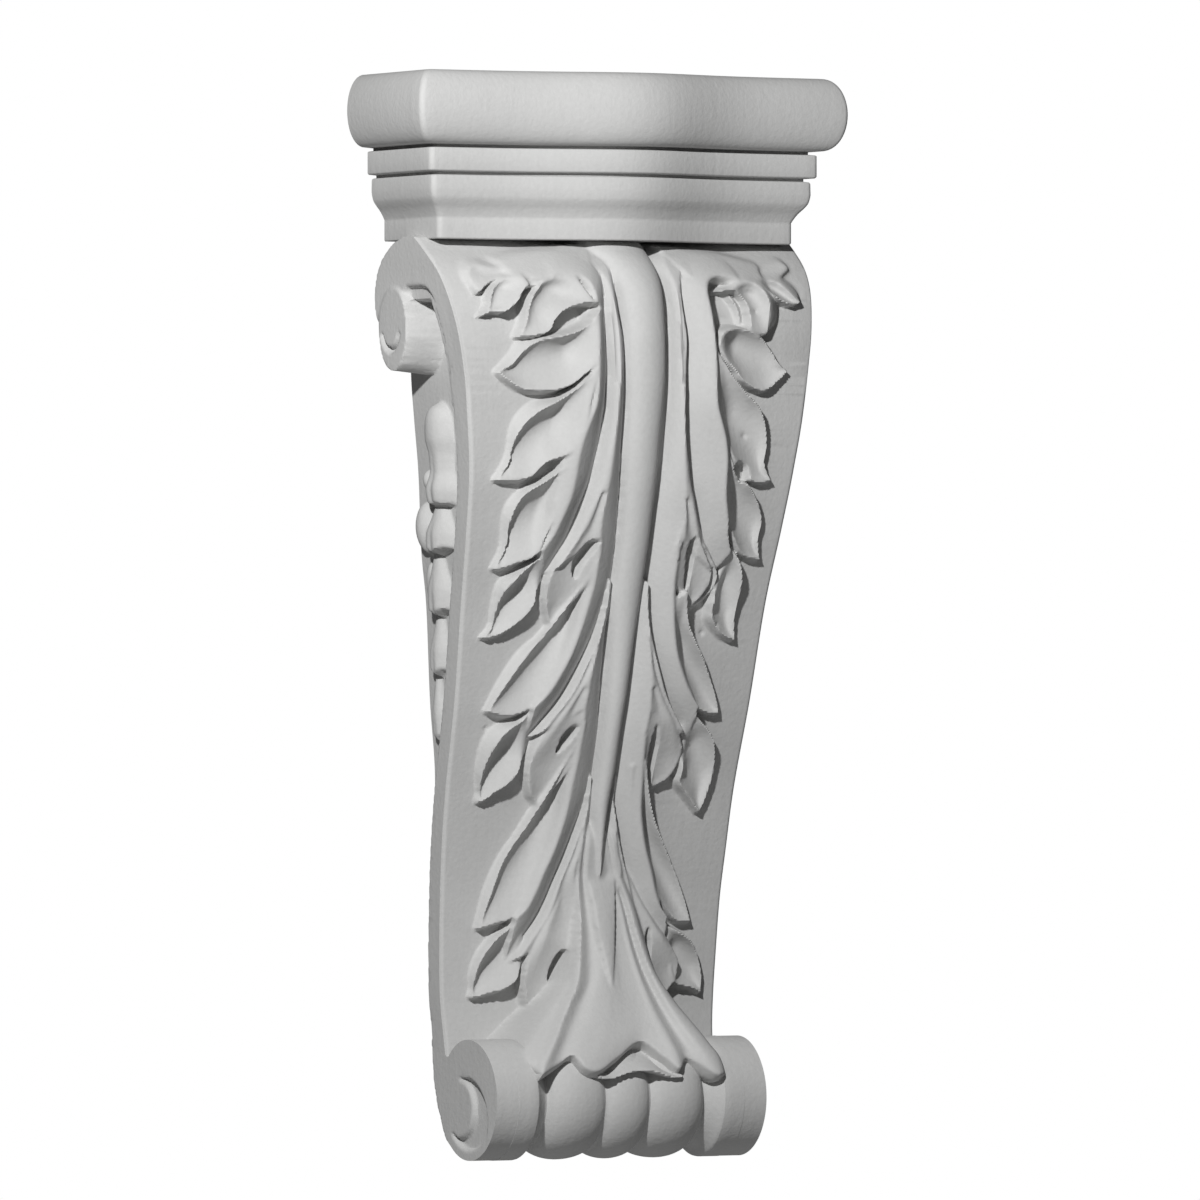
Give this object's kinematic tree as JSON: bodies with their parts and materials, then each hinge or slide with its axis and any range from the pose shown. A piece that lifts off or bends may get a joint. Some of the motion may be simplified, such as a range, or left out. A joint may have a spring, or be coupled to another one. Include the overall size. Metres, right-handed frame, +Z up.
{
  "type": "acanthus corbel",
  "caption": "Tall, narrow wall corbel with a stepped, bowed cap, S-shaped face carrying a raised acanthus leaf, side volutes with bellflower drops, and a fluted roll at its foot.",
  "frame": {"origin": "on the flat back, half way up it and on its centre line", "axes": "+Z up, +Y from the corbel into the wall (the front faces -Y), +X to the viewer's right"},
  "size_m": [0.1142, 0.0444, 0.254],
  "materials": {
    "cast_body": "light grey primed casting, matt, finely brushed, with a few small air pits"
  },
  "bodies": {
    "root": {"corbel": "cast_body"}
  },
  "joints": []
}
